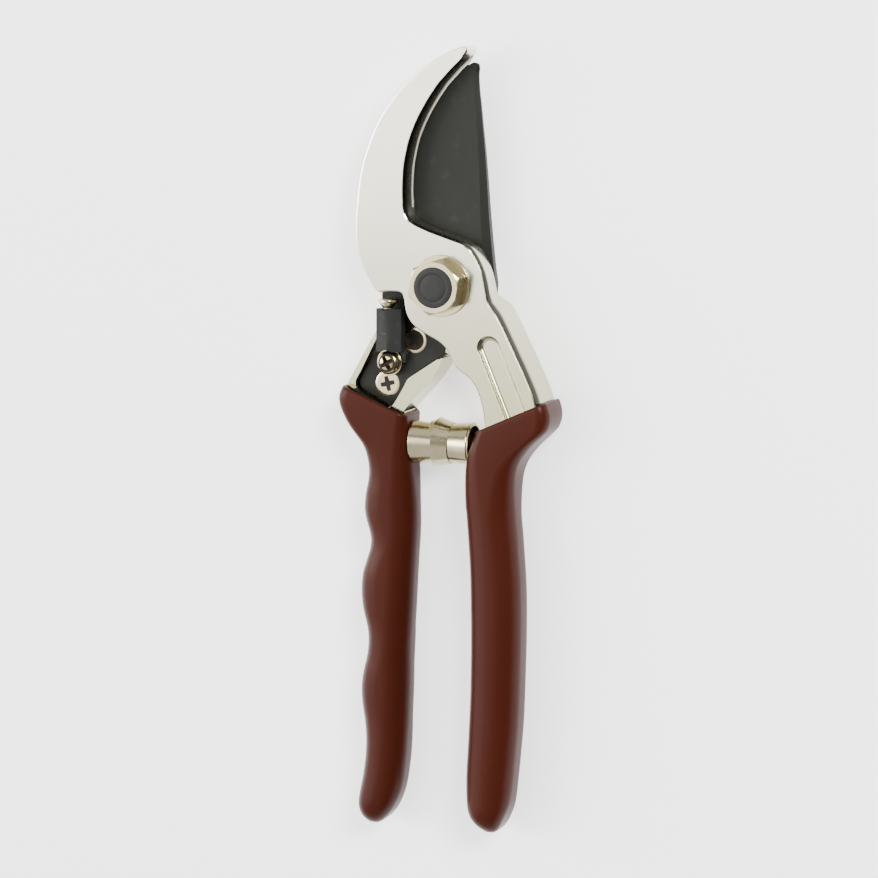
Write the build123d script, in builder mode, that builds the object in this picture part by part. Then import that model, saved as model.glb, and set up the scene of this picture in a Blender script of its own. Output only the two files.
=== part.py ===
"""Bypass pruning shears: a forged hook and a coated blade on one pivot bolt, with dipped grips.

Millimetres. The shears lie flat: +Z points out of their front, +Y towards the tip of the blade, and
the hook is on the -X side. The origin is on the pivot's axis, in the plane that the shears rest on.
The model is drawn closed and latched. Opening turns the blade's half clockwise seen from the front.
"""

from math import cos, radians, sin
import os

from build123d import *

os.makedirs("parts", exist_ok=True)

# ---- overall sizes -------------------------------------------------------------------------------
hook_reach = 62.5           # pivot to the top of the hook, along Y
grip_length = 112.0         # a grip, from its mouth at the middle to its end, along Y

# ---- levels through the thickness, from the resting plane up -------------------------------------
bolt_head_thick = 2.0       # the bolt's head rests on the surface
bolt_head_sunk = 1.0        # how deep the head sits in the blade frame's back
hub_plate_thick = 4.0       # the blade frame's plate round the pivot
blade_thick = 3.0
slide_gap = 0.1             # between the blade's flat face and the hook
hook_plate_thick = 6.4      # the hook and its hub
arm_back = 1.5              # back face of the hook frame's arm
rim_height = 2.0            # the blade frame's left rim, above the blade's tang
pad_height = 3.5            # the blade frame's right pad, above the blade's tang

plate_back = bolt_head_thick - bolt_head_sunk
blade_back = plate_back + hub_plate_thick
blade_front = blade_back + blade_thick
hook_back = blade_front + slide_gap
hook_front = hook_back + hook_plate_thick
rim_top = blade_front + rim_height
pad_top = blade_front + pad_height

# ---- pivot ---------------------------------------------------------------------------------------
shoulder_radius = 5.0       # the bolt's plain shoulder, on which the blade turns
running_fit = 0.05          # radial clearance of a turning fit
seat_fit = 0.03             # radial clearance of a screwed or pressed-in piece
bolt_head_radius = 8.0
thread_radius = 4.0
key_flat = 3.4              # the bolt's neck: half its width across the two flats
washer_radius = 8.1
washer_thick = 0.8
nut_flats = 13.0            # across flats
nut_height = 5.3
nut_turn = 20.0             # a corner of the nut, in degrees from +X
nut_cone = 0.9              # how far the nut's turned ends cut into its corners
nut_cone_height = 0.5
cap_radius = 5.3
cap_thick = 1.9
cap_proud = 0.3             # how far the cap stands above the nut
hub_radius = 13.0           # the blade round the pivot
plate_radius = 11.0         # the blade frame's plate round the pivot
hub_gap = 1.2               # between that disc and the arm's step
stop_gap = 0.3              # between the two frames' stop faces, shears closed
stop_face = -0.3            # x of the stop face on the blade's half

# ---- dipped grips --------------------------------------------------------------------------------
dip_wall = 1.4              # thickness of the dip over the handle inside
grip_round = 4.0            # rounding of a grip's long edges
hook_grip_front = hook_front + dip_wall
blade_grip_front = 14.0
handle_bevel = 1.3          # bevel of the handles inside the dip
frame_bevel = 1.0           # step of the hook frame's arm behind its front

# ---- screws, latch and spring --------------------------------------------------------------------
blade_screws = [(-17.5, -27.2), (-9.9, -15.4)]
screw_radius = 2.0
screw_head_radius = 3.4
screw_sink = 1.6            # depth of a countersunk head's cone
screw_reach = 3.0           # thread in the blade frame
screw_tip_radius = 1.9      # foot of the countersunk head's cone
driver_width = 0.9          # one bar of the cross recess
driver_span = 3.6
driver_depth = 1.2

latch_pivot = (-16.0, -21.2)
latch_screw_radius = 1.7
latch_head_radius = 3.0
latch_head_thick = 2.4
latch_gap = 0.3             # under the latch's eye, and over the rim
eye_thick = 1.9
latch_head_round = 1.4
eye_radius = 3.4
heel_radius = 5.0           # reach of the latch's low heel, inside the rim
bar_width = 6.6
bar_thick = 4.0
bar_start = 3.1             # from the latch's pivot to the bar's lower end
bar_end = 14.5
latch_washer_radius = 3.5
latch_washer_thick = 0.4
tip_screw_radius = 1.35
tip_head_radius = 2.6
tip_gap = 1.8               # from the tip screw's head to the hook's shoulder
tip_head_edge = 1.0         # height of the head's cylindrical edge
tip_head_cone = 1.4
tip_head_bevel = 0.4

shoulder_y = -2.3           # the hook's shoulder, which the latch locks against
spring_y = -42.3
spring_z = 7.3
spring_left = -10.2
spring_right = 6.6
seat_gap = 0.3              # between an end of the spring and its seat in the grip
spring_radius = 5.3
spring_middle_radius = 6.2
spring_middle = 5.4         # width of the outermost turn
strip_thick = 0.7
peg_radius = 2.4
peg_free = 5.5              # length of a peg inside the spring
peg_sunk = 3.2              # length of a peg inside its handle
edge_break = 0.6            # bevel of the small turned and milled edges
end_gap = 0.1               # between a screw's or peg's end and the bottom of its hole


def grip_point(side_x, share, mouth_y):
    """A point on a grip's outline, a share of the grip's length below its mouth."""
    return (side_x, mouth_y - share * grip_length)


def round_end(middle_x, radius, share, mouth_y):
    """Four points round a grip's lower end, from its right side to its left."""
    x, y = grip_point(middle_x, share, mouth_y)
    turns = [(radius * cos(radians(a)), radius * sin(radians(a))) for a in (-22, -67, -113, -158)]
    return [(x + dx, y + dy) for dx, dy in turns]


def on_circle(radius, degrees):
    return (radius * cos(radians(degrees)), radius * sin(radians(degrees)))


def blend_corner(sketch, point, radius):
    """Rounds the outline's corner nearest to a point."""
    corner = sketch.vertices().sort_by_distance(Vector(*point, sketch.vertices()[0].Z))[0]
    fillet(corner, radius)


# ---- outlines shared by a grip and the handle inside it ------------------------------------------
hook_mouth = (20.0, -33.0)
hook_mouth_slant = 25.0     # degrees from +X
blade_mouth = (-19.0, -31.2)
blade_mouth_slant = -22.5

hook_grip_outline = [
    (26.0, -24.0),
    (29.6, -33.0),
    (25.1, -40.9),
    grip_point(19.6, 0.150, hook_mouth[1]),
    grip_point(19.5, 0.260, hook_mouth[1]),
    grip_point(20.7, 0.450, hook_mouth[1]),
    grip_point(20.3, 0.680, hook_mouth[1]),
    grip_point(18.9, 0.890, hook_mouth[1]),
    *round_end(12.3, 6.3, 0.958, hook_mouth[1]),
    grip_point(5.8, 0.890, hook_mouth[1]),
    grip_point(6.9, 0.680, hook_mouth[1]),
    grip_point(6.8, 0.420, hook_mouth[1]),
    grip_point(5.9, 0.230, hook_mouth[1]),
    (7.4, -43.5),
    (11.0, -36.5),
    (12.5, -28.0),
]
blade_grip_outline = [
    (-11.0, -26.0),
    (-10.4, -36.0),
    (-9.9, -48.0),
    grip_point(-9.3, 0.300, blade_mouth[1]),
    grip_point(-10.2, 0.470, blade_mouth[1]),
    grip_point(-11.3, 0.720, blade_mouth[1]),
    grip_point(-12.8, 0.900, blade_mouth[1]),
    *round_end(-19.7, 5.8, 0.978, blade_mouth[1]),
    grip_point(-25.0, 0.910, blade_mouth[1]),
    grip_point(-23.4, 0.825, blade_mouth[1]),
    grip_point(-24.6, 0.700, blade_mouth[1]),
    grip_point(-22.6, 0.588, blade_mouth[1]),
    grip_point(-24.5, 0.465, blade_mouth[1]),
    grip_point(-21.9, 0.345, blade_mouth[1]),
    grip_point(-23.7, 0.262, blade_mouth[1]),
    grip_point(-22.3, 0.165, blade_mouth[1]),
    (-25.4, -41.0),
    (-30.0, -32.5),
    (-27.5, -24.0),
    (-19.0, -18.0),
]


def inset(outline, amount):
    """The points of an outline, each moved square to it towards the inside. Outlines run clockwise."""
    curve = Spline(*outline, periodic=True, mode=Mode.PRIVATE)
    moved = []
    for point in outline:
        along = curve.tangent_at(Vector(*point))
        moved.append((point[0] + along.Y * amount, point[1] - along.X * amount))
    return moved


def below_mouth(mouth, slant, bottom, top):
    """Keeps what lies below a grip's slanted mouth, between two levels."""
    cut = Plane(origin=(mouth[0], mouth[1], bottom), x_dir=(cos(radians(slant)), sin(radians(slant)), 0))
    with BuildSketch(cut, mode=Mode.PRIVATE) as half:
        with Locations((0, -2 * grip_length)):
            Rectangle(4 * grip_length, 4 * grip_length)
    extrude(half.sketch, amount=top - bottom, mode=Mode.INTERSECT)


# ---- hook frame: hook, hub, arm and handle in one forging ----------------------------------------
with BuildPart() as hook_handle:
    with BuildSketch(Plane.XY.offset(arm_back)):
        with BuildLine():
            Spline(*inset(hook_grip_outline, dip_wall), periodic=True)
        make_face()
    extrude(amount=hook_front - arm_back)
    chamfer(hook_handle.edges().group_by(Axis.Z)[0] + hook_handle.edges().group_by(Axis.Z)[-1], handle_bevel)
    below_mouth(hook_mouth, hook_mouth_slant, arm_back, hook_front)

arm_foot = [(27.0, -31.8), (12.4, -38.4)]
tip_right = (7.2, 0.955 * hook_reach)
tip_left = (5.2, 0.995 * hook_reach)
hub_left = (-6.0, 15.2)
hub_top = (4.6, 11.6)
boss_foot = (3.6, -21.8)
outer_foot = (-18.9, -1.4)

with BuildPart() as hook_frame:
    with BuildSketch(Plane.XY.offset(hook_back)) as front_plate:
        with BuildLine():
            Spline(
                tip_left,
                (-6.2, 0.890 * hook_reach),
                (-14.2, 0.765 * hook_reach),
                (-18.9, 0.640 * hook_reach),
                (-22.0, 0.515 * hook_reach),
                (-23.8, 0.345 * hook_reach),
                (-24.4, 0.215 * hook_reach),
                (-22.3, 4.4),
                outer_foot,
            )
            Line(outer_foot, (-17.6, shoulder_y))
            Line((-17.6, shoulder_y), (-10.9, shoulder_y))
            Spline((-10.9, shoulder_y), (-10.3, -7.0), (-7.2, -11.4), (-1.0, -14.9), (1.8, -17.6), boss_foot)
            Spline(boss_foot, (8.3, -24.8), (11.3, -31.7), arm_foot[1])
            Line(arm_foot[1], arm_foot[0])
            Spline(
                arm_foot[0],
                (26.7, -28.3),
                (23.0, -20.0),
                (19.3, -12.0),
                (15.8, -5.6),
                (13.2, -0.6),
                (12.0, 4.2),
                (9.6, 8.7),
                hub_top,
            )
            Line(hub_top, hub_left)
            Line(hub_left, (-9.3, 17.4))
            Spline(
                (-9.3, 17.4),
                (-9.8, 0.390 * hook_reach),
                (-9.3, 0.505 * hook_reach),
                (-7.6, 0.618 * hook_reach),
                (-3.9, 0.740 * hook_reach),
                (2.0, 0.865 * hook_reach),
                tip_right,
            )
            ThreePointArc(tip_right, (7.6, 0.988 * hook_reach), tip_left)
        make_face()
        blend_corner(front_plate, (-17.6, shoulder_y), 0.8)
        blend_corner(front_plate, (-10.9, shoulder_y), 0.5)
        blend_corner(front_plate, (-9.3, 17.4), 1.5)
    extrude(amount=hook_plate_thick)

    step_radius = hub_radius + hub_gap
    step_start = (stop_face + stop_gap, -step_radius)
    step_end = on_circle(step_radius, -19.5)
    with BuildSketch(Plane.XY.offset(arm_back)):
        with BuildLine():
            Line((step_start[0], -17.6), step_start)
            ThreePointArc(step_start, on_circle(step_radius, -55.0), step_end)
            Spline(step_end, (15.8, -5.6), (20.2, -12.5), (23.8, -20.2), (27.2, -28.4), arm_foot[0])
            Line(arm_foot[0], arm_foot[1])
            Spline(arm_foot[1], (11.3, -31.7), (8.3, -24.8), boss_foot)
            Line(boss_foot, (step_start[0], -17.6))
        make_face()
    extrude(amount=hook_front - arm_back - frame_bevel)
    add(hook_handle.part)

    # the key-way hole of the bolt
    with BuildSketch(Plane.XY.offset(hook_back)):
        Circle(thread_radius + seat_fit)
        Rectangle(4 * thread_radius, 2 * (key_flat + seat_fit), mode=Mode.INTERSECT)
    extrude(amount=hook_plate_thick, mode=Mode.SUBTRACT)

    # the long recess pressed into the arm's front
    recess_width = 5.9
    recess_length = 21.0
    recess_depth = 1.4
    recess_slant = -67.2
    recess_top = (13.1, -15.8)
    recess_middle = (
        recess_top[0] + recess_length / 2 * cos(radians(recess_slant)),
        recess_top[1] + recess_length / 2 * sin(radians(recess_slant)),
    )
    with BuildSketch(Plane.XY.offset(hook_front - recess_depth)):
        with Locations(recess_middle):
            SlotCenterToCenter(recess_length, recess_width, rotation=recess_slant)
    extrude(amount=recess_depth, mode=Mode.SUBTRACT)

    # the seat of the spring's peg
    with BuildSketch(Plane.YZ.offset(spring_right)):
        with Locations((spring_y, spring_z)):
            Circle(peg_radius + seat_fit)
    extrude(amount=peg_sunk, mode=Mode.SUBTRACT)
hook_frame.part.label = "hook_frame"
export_step(hook_frame.part, "parts/hook_frame.step")


# ---- blade frame: pivot plate, pocket for the blade's tang, and handle in one forging ------------
with BuildPart() as blade_handle:
    with BuildSketch(Plane.XY.offset(plate_back)):
        with BuildLine():
            Spline(*inset(blade_grip_outline, dip_wall), periodic=True)
        make_face()
    extrude(amount=pad_top - plate_back)
    chamfer(blade_handle.edges().group_by(Axis.Z)[0] + blade_handle.edges().group_by(Axis.Z)[-1], handle_bevel)
    below_mouth(blade_mouth, blade_mouth_slant, plate_back, pad_top)

neck_top = -12.9
pad_corner = (-1.2, -20.6)
tang_left = (-16.6, -2.2)
tang_neck_left = (-16.9, -9.5)
tang_corner = (-25.6, -26.6)
tang_foot = (-16.6, -32.1)
tang_waist = (-11.2, -25.2)
tang_right = (stop_face - 0.2, -18.4)
tang_neck_right = (stop_face - 0.2, neck_top)
tang_outline = [
    tang_left,
    tang_neck_left,
    tang_corner,
    tang_foot,
    tang_waist,
    tang_right,
    tang_neck_right,
    (0, 0),
]
tang_corner_radius = 2.0
tang_foot_radius = 1.8
pocket_gap = 0.15
pocket_clear = 19.5         # the thick body keeps outside this radius, where the hook turns

with BuildPart() as blade_frame:
    with BuildSketch(Plane.XY.offset(plate_back)) as neck:
        with BuildLine():
            Polyline((-12.9, -0.7), (-20.0, -13.0), (-24.0, -20.0), (-28.0, -27.1), (-27.8, -28.2))
            Line((-27.8, -28.2), (-13.5, -37.0))
            Spline((-13.5, -37.0), (-11.6, -33.8), (-8.8, -30.6), (-3.9, -25.1), pad_corner)
            Polyline(pad_corner, (stop_face, -17.6), (stop_face, neck_top), (0, 0), (-12.9, -0.7))
        make_face()
        blend_corner(neck, pad_corner, 1.6)
        Circle(plate_radius)
    extrude(amount=pad_top - plate_back)
    # the front of the plate and neck, inside the hook's reach
    with BuildSketch(Plane.XY.offset(blade_back)):
        Circle(pocket_clear)
    extrude(amount=pad_top - blade_back, mode=Mode.SUBTRACT)
    # the left rim is lower than the right pad, so that the latch swings over it
    with BuildSketch(Plane.XY.offset(rim_top)):
        with BuildLine():
            Polyline((-8.0, 0.0), (-20.3, -32.6), (-24.0, -40.0), (-40.0, -30.0), (-30.0, 0.0), close=True)
        make_face()
    extrude(amount=pad_top - rim_top, mode=Mode.SUBTRACT)
    add(blade_handle.part)
    # the pocket, which holds the blade's tang
    with BuildSketch(Plane.XY.offset(blade_back)) as pocket:
        with BuildLine():
            Polyline(*tang_outline, close=True)
        make_face()
        blend_corner(pocket, tang_corner, tang_corner_radius)
        blend_corner(pocket, tang_foot, tang_foot_radius)
        offset(amount=pocket_gap)
    extrude(amount=pad_top - blade_back, mode=Mode.SUBTRACT)
    # pivot bore and the counterbore of the bolt's head
    with BuildSketch(Plane.XY.offset(plate_back)):
        Circle(shoulder_radius + running_fit)
    extrude(amount=hub_plate_thick, mode=Mode.SUBTRACT)
    with BuildSketch(Plane.XY.offset(plate_back)):
        Circle(bolt_head_radius + 2 * running_fit)
    extrude(amount=bolt_head_sunk + running_fit, mode=Mode.SUBTRACT)
    # tapped holes of the blade's screws and of the latch's screw
    with BuildSketch(Plane.XY.offset(blade_back)):
        with Locations(*blade_screws):
            Circle(screw_radius + seat_fit)
        with Locations(latch_pivot):
            Circle(latch_screw_radius + seat_fit)
    extrude(amount=-screw_reach - seat_fit, mode=Mode.SUBTRACT)
    with BuildSketch(Plane.YZ.offset(spring_left)):
        with Locations((spring_y, spring_z)):
            Circle(peg_radius + seat_fit)
    extrude(amount=-peg_sunk, mode=Mode.SUBTRACT)
blade_frame.part.label = "blade_frame"
export_step(blade_frame.part, "parts/blade_frame.step")

# ---- dipped grips --------------------------------------------------------------------------------
with BuildPart() as hook_grip:
    with BuildSketch(Plane.XY):
        with BuildLine():
            Spline(*hook_grip_outline, periodic=True)
        make_face()
    extrude(amount=hook_grip_front)
    fillet(hook_grip.edges().group_by(Axis.Z)[-1] + hook_grip.edges().group_by(Axis.Z)[0], grip_round)
    below_mouth(hook_mouth, hook_mouth_slant, 0, hook_grip_front)
    add(hook_frame.part, mode=Mode.SUBTRACT)
    with BuildSketch(Plane.YZ.offset(spring_right)):
        with Locations((spring_y, spring_z)):
            Circle(peg_radius + seat_fit)
    extrude(amount=peg_sunk, mode=Mode.SUBTRACT)
    with BuildSketch(Plane.YZ.offset(spring_right + seat_gap)):
        with Locations((spring_y, spring_z)):
            Circle(spring_radius + seat_gap)
    extrude(amount=-peg_sunk, mode=Mode.SUBTRACT)
hook_grip.part.label = "hook_grip"
export_step(hook_grip.part, "parts/hook_grip.step")

with BuildPart() as blade_grip:
    with BuildSketch(Plane.XY):
        with BuildLine():
            Spline(*blade_grip_outline, periodic=True)
        make_face()
    extrude(amount=blade_grip_front)
    fillet(blade_grip.edges().group_by(Axis.Z)[-1] + blade_grip.edges().group_by(Axis.Z)[0], grip_round)
    below_mouth(blade_mouth, blade_mouth_slant, 0, blade_grip_front)
    add(blade_frame.part, mode=Mode.SUBTRACT)
    with BuildSketch(Plane.YZ.offset(spring_left)):
        with Locations((spring_y, spring_z)):
            Circle(peg_radius + seat_fit)
    extrude(amount=-peg_sunk, mode=Mode.SUBTRACT)
    with BuildSketch(Plane.YZ.offset(spring_left - seat_gap)):
        with Locations((spring_y, spring_z)):
            Circle(spring_radius + seat_gap)
    extrude(amount=peg_sunk, mode=Mode.SUBTRACT)
blade_grip.part.label = "blade_grip"
export_step(blade_grip.part, "parts/blade_grip.step")


# ---- cutting blade: flat on the hook's side, ground thin towards its tip on the back --------------
tip_gap_to_hook = 4.7       # the blade's tip ends short of the hook's
spine_top = (8.2, hook_reach - tip_gap_to_hook - 1.6)
edge_top = (5.4, hook_reach - tip_gap_to_hook - 0.6)
hub_inset = 0.8             # the blade's disc ends this far inside the frame's, at its right
taper_start = 14.0          # y where the distal taper begins
taper_tip = 1.0             # thickness left at the tip

with BuildPart() as cutting_blade:
    with BuildSketch(Plane.XY.offset(blade_back)) as blade_shape:
        with BuildLine():
            Spline(
                edge_top,
                (-2.2, 0.835 * hook_reach),
                (-8.2, 0.690 * hook_reach),
                (-11.6, 0.530 * hook_reach),
                (-12.9, 0.370 * hook_reach),
                (-12.9, 0.220 * hook_reach),
                on_circle(hub_radius, 172),
            )
            Polyline(on_circle(hub_radius, 172), (0, 0), on_circle(hub_radius - hub_inset, 0))
            Spline(
                on_circle(hub_radius - hub_inset, 0),
                (11.3, 0.184 * hook_reach),
                (10.5, 0.392 * hook_reach),
                (9.9, 0.560 * hook_reach),
                (9.1, 0.736 * hook_reach),
                spine_top,
            )
            ThreePointArc(spine_top, (7.0, hook_reach - tip_gap_to_hook), edge_top)
        make_face()
    extrude(amount=blade_thick)
    with BuildSketch(Plane.XY.offset(blade_back)):
        Circle(hub_radius - 4 * running_fit)
    extrude(amount=blade_thick)
    with BuildSketch(Plane.XY.offset(blade_back)) as tang:
        with BuildLine():
            Polyline(*tang_outline, close=True)
        make_face()
        blend_corner(tang, tang_corner, tang_corner_radius)
        blend_corner(tang, tang_foot, tang_foot_radius)
    extrude(amount=blade_thick)
    # the distal taper, taken off the back
    with BuildSketch(Plane.YZ.offset(-2 * hook_reach)):
        with BuildLine():
            Polyline(
                (taper_start, blade_back - 1),
                (taper_start, blade_back),
                (hook_reach, blade_front - taper_tip),
                (hook_reach, blade_back - 1),
                close=True,
            )
        make_face()
    extrude(amount=4 * hook_reach, mode=Mode.SUBTRACT)
    with BuildSketch(Plane.XY.offset(blade_back)):
        Circle(shoulder_radius + running_fit)
        with Locations(*blade_screws):
            Circle(screw_radius + 2 * running_fit)
        with Locations(latch_pivot):
            Circle(latch_screw_radius + 2 * running_fit)
    extrude(amount=blade_thick, mode=Mode.SUBTRACT)
    with Locations(*[(x, y, blade_front) for x, y in blade_screws]):
        Cone(
            screw_radius,
            screw_head_radius + running_fit,
            screw_sink,
            align=(Align.CENTER, Align.CENTER, Align.MAX),
            mode=Mode.SUBTRACT,
        )
cutting_blade.part.label = "cutting_blade"
export_step(cutting_blade.part, "parts/cutting_blade.step")

# ---- pivot: bolt, washer, nut and the cap in the nut ----------------------------------------------
nut_back = hook_front + washer_thick
nut_front = nut_back + nut_height
cap_back = nut_front + cap_proud - cap_thick
bolt_end = cap_back - end_gap
from_bottom = (Align.CENTER, Align.CENTER, Align.MIN)
from_top = (Align.CENTER, Align.CENTER, Align.MAX)

with BuildPart() as pivot_bolt:
    Cylinder(bolt_head_radius, bolt_head_thick, align=from_bottom)
    fillet(pivot_bolt.edges().group_by(Axis.Z)[0], edge_break)
    with Locations((0, 0, bolt_head_thick)):
        Cylinder(shoulder_radius, hook_back - bolt_head_thick, align=from_bottom)
    with BuildSketch(Plane.XY.offset(hook_back)):
        Circle(thread_radius)
        Rectangle(4 * thread_radius, 2 * key_flat, mode=Mode.INTERSECT)
    extrude(amount=hook_plate_thick)
    with Locations((0, 0, hook_front)):
        Cylinder(thread_radius, bolt_end - hook_front, align=from_bottom)
pivot_bolt.part.label = "pivot_bolt"
export_step(pivot_bolt.part, "parts/pivot_bolt.step")

with BuildPart() as pivot_washer:
    with Locations((0, 0, hook_front)):
        Cylinder(washer_radius, washer_thick, align=from_bottom)
        Cylinder(thread_radius + 4 * running_fit, washer_thick, align=from_bottom, mode=Mode.SUBTRACT)
pivot_washer.part.label = "pivot_washer"
export_step(pivot_washer.part, "parts/pivot_washer.step")

with BuildPart() as pivot_nut:
    with BuildSketch(Plane.XY.offset(nut_back)):
        RegularPolygon(nut_flats / 2, 6, major_radius=False, rotation=nut_turn)
        Circle(thread_radius + seat_fit, mode=Mode.SUBTRACT)
    extrude(amount=nut_height)
    # both ends are turned to a cone, which rounds the six corners off
    corner_radius = nut_flats / 2 / cos(radians(30))
    with BuildSketch(Plane.XZ):
        with BuildLine():
            Polyline(
                (0, nut_back),
                (corner_radius - nut_cone, nut_back),
                (corner_radius, nut_back + nut_cone_height),
                (corner_radius, nut_front - nut_cone_height),
                (corner_radius - nut_cone, nut_front),
                (0, nut_front),
                close=True,
            )
        make_face()
    revolve(axis=Axis.Z, mode=Mode.INTERSECT)
    with Locations((0, 0, cap_back)):
        Cylinder(cap_radius + seat_fit, cap_thick, align=from_bottom, mode=Mode.SUBTRACT)
pivot_nut.part.label = "pivot_nut"
export_step(pivot_nut.part, "parts/pivot_nut.step")

with BuildPart() as nut_cap:
    with Locations((0, 0, cap_back)):
        Cylinder(cap_radius, cap_thick, align=from_bottom)
    fillet(nut_cap.edges().group_by(Axis.Z)[-1], cap_proud)
nut_cap.part.label = "nut_cap"
export_step(nut_cap.part, "parts/nut_cap.step")


# ---- screws of the blade and of the latch ---------------------------------------------------------
def cross_recess(x, y, top, turn):
    """Cuts the driver's cross into a screw's head."""
    with BuildSketch(Plane.XY.offset(top), mode=Mode.PRIVATE) as cross:
        with Locations((x, y)):
            Rectangle(driver_span, driver_width, rotation=turn)
            Rectangle(driver_width, driver_span, rotation=turn)
    extrude(cross.sketch, amount=-driver_depth, mode=Mode.SUBTRACT)


def blade_screw(x, y, turn):
    with Locations((x, y, blade_front)):
        Cone(screw_tip_radius, screw_head_radius - running_fit, screw_sink, align=from_top)
        Cylinder(screw_radius, blade_thick + screw_reach - end_gap, align=from_top)
    cross_recess(x, y, blade_front, turn)


with BuildPart() as lower_blade_screw:
    blade_screw(*blade_screws[0], turn=20)
lower_blade_screw.part.label = "lower_blade_screw"
export_step(lower_blade_screw.part, "parts/lower_blade_screw.step")

with BuildPart() as upper_blade_screw:
    blade_screw(*blade_screws[1], turn=50)
upper_blade_screw.part.label = "upper_blade_screw"
export_step(upper_blade_screw.part, "parts/upper_blade_screw.step")

eye_back = blade_front + latch_gap
eye_front = eye_back + eye_thick
latch_washer_back = eye_front + running_fit
latch_head_back = latch_washer_back + latch_washer_thick

with BuildPart() as latch_screw:
    with Locations((*latch_pivot, latch_head_back)):
        Cylinder(latch_head_radius, latch_head_thick, align=from_bottom)
    fillet(latch_screw.edges().group_by(Axis.Z)[-1], latch_head_round)
    with Locations((*latch_pivot, latch_head_back)):
        Cylinder(latch_screw_radius, latch_head_back - blade_back + screw_reach - end_gap, align=from_top)
    cross_recess(*latch_pivot, latch_head_back + latch_head_thick, turn=10)
latch_screw.part.label = "latch_screw"
export_step(latch_screw.part, "parts/latch_screw.step")

with BuildPart() as latch_washer:
    with Locations((*latch_pivot, latch_washer_back)):
        Cylinder(latch_washer_radius, latch_washer_thick, align=from_bottom)
        Cylinder(latch_screw_radius + running_fit, latch_washer_thick, align=from_bottom, mode=Mode.SUBTRACT)
latch_washer.part.label = "latch_washer"
export_step(latch_washer.part, "parts/latch_washer.step")

# ---- latch lever: an eye under the screw, a low heel, and a bar that clears the rim -----------------
bar_root = eye_front - 0.5  # the bar grows out of the eye from here
bar_middle_x = latch_pivot[0] + 1.1
bar_back = eye_front + 0.1
bar_front = bar_back + bar_thick
bar_bevel = 1.5
tip_axis_x = latch_pivot[0] + 0.3
tip_screw_reach = 5.9
bar_level = (bar_back + bar_front) / 2
bar_top_y = latch_pivot[1] + bar_end
tip_head_top = shoulder_y - tip_gap

with BuildPart() as latch_lever:
    with BuildSketch(Plane.XY.offset(eye_back)):
        with Locations(latch_pivot):
            Circle(heel_radius)
        with Locations((bar_middle_x, latch_pivot[1])):
            Rectangle(bar_width, 2 * heel_radius, align=(Align.CENTER, Align.MIN), mode=Mode.INTERSECT)
        with Locations(latch_pivot):
            Circle(eye_radius)
    extrude(amount=eye_thick)
    with BuildSketch(Plane.XZ.offset(-latch_pivot[1] - bar_start)):
        with BuildLine():
            left = bar_middle_x - bar_width / 2
            right = bar_middle_x + bar_width / 2
            Polyline(
                (left, bar_root),
                (left, bar_front - bar_bevel),
                (left + bar_bevel, bar_front),
                (right - bar_bevel, bar_front),
                (right, bar_front - bar_bevel),
                (right, bar_root),
                close=True,
            )
        make_face()
    extrude(amount=-(bar_end - bar_start))
    # the bar's underside clears the rim beyond the heel
    with BuildSketch(Plane.XY.offset(bar_root)):
        with Locations((bar_middle_x, latch_pivot[1])):
            Rectangle(2 * bar_width, 2 * bar_end)
        with Locations(latch_pivot):
            Circle(heel_radius, mode=Mode.SUBTRACT)
    extrude(amount=bar_back - bar_root, mode=Mode.SUBTRACT)
    chamfer(latch_lever.edges().filter_by(Axis.X).group_by(Axis.Y)[-1], edge_break)
    with Locations((*latch_pivot, eye_back)):
        Cylinder(latch_screw_radius + running_fit, eye_thick, align=from_bottom, mode=Mode.SUBTRACT)
    # room for the washer and screw head beside the bar's foot
    with Locations((*latch_pivot, eye_front)):
        Cylinder(latch_washer_radius + end_gap, 2 * bar_thick, align=from_bottom, mode=Mode.SUBTRACT)
    # tapped hole of the tip screw
    with BuildSketch(Plane.XZ.offset(-bar_top_y)):
        with Locations((tip_axis_x, bar_level)):
            Circle(tip_screw_radius + seat_fit)
    extrude(amount=tip_screw_reach + end_gap, mode=Mode.SUBTRACT)
latch_lever.part.label = "latch_lever"
export_step(latch_lever.part, "parts/latch_lever.step")

with BuildPart() as latch_tip_screw:
    with BuildSketch(Plane(origin=(tip_axis_x, 0, bar_level), x_dir=(1, 0, 0), z_dir=(0, 0, 1))):
        with BuildLine():
            Polyline(
                (0, tip_head_top),
                (tip_head_radius - tip_head_bevel, tip_head_top),
                (tip_head_radius, tip_head_top - tip_head_bevel),
                (tip_head_radius, tip_head_top - tip_head_edge),
                (tip_screw_radius, tip_head_top - tip_head_edge - tip_head_cone),
                (tip_screw_radius, bar_top_y - tip_screw_reach),
                (0, bar_top_y - tip_screw_reach),
                close=True,
            )
        make_face()
    revolve(axis=Axis((tip_axis_x, 0, bar_level), (0, 1, 0)))
latch_tip_screw.part.label = "latch_tip_screw"
export_step(latch_tip_screw.part, "parts/latch_tip_screw.step")

# ---- spring between the handles, and its two pegs --------------------------------------------------
spring_line = Axis((0, spring_y, spring_z), (1, 0, 0))
spring_centre = (spring_left + spring_right) / 2

with BuildPart() as volute_spring:
    with BuildSketch(Plane(origin=(0, spring_y, spring_z), x_dir=(1, 0, 0), z_dir=(0, 0, 1))):
        with BuildLine():
            Polyline(
                (spring_left, spring_radius),
                (spring_centre - spring_middle / 2, spring_radius),
                (spring_centre - spring_middle / 2, spring_middle_radius),
                (spring_centre + spring_middle / 2, spring_middle_radius),
                (spring_centre + spring_middle / 2, spring_radius),
                (spring_right, spring_radius),
                (spring_right, spring_radius - strip_thick),
                (spring_left, spring_radius - strip_thick),
                close=True,
            )
        make_face()
    revolve(axis=spring_line)
volute_spring.part.label = "volute_spring"
export_step(volute_spring.part, "parts/volute_spring.step")

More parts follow.
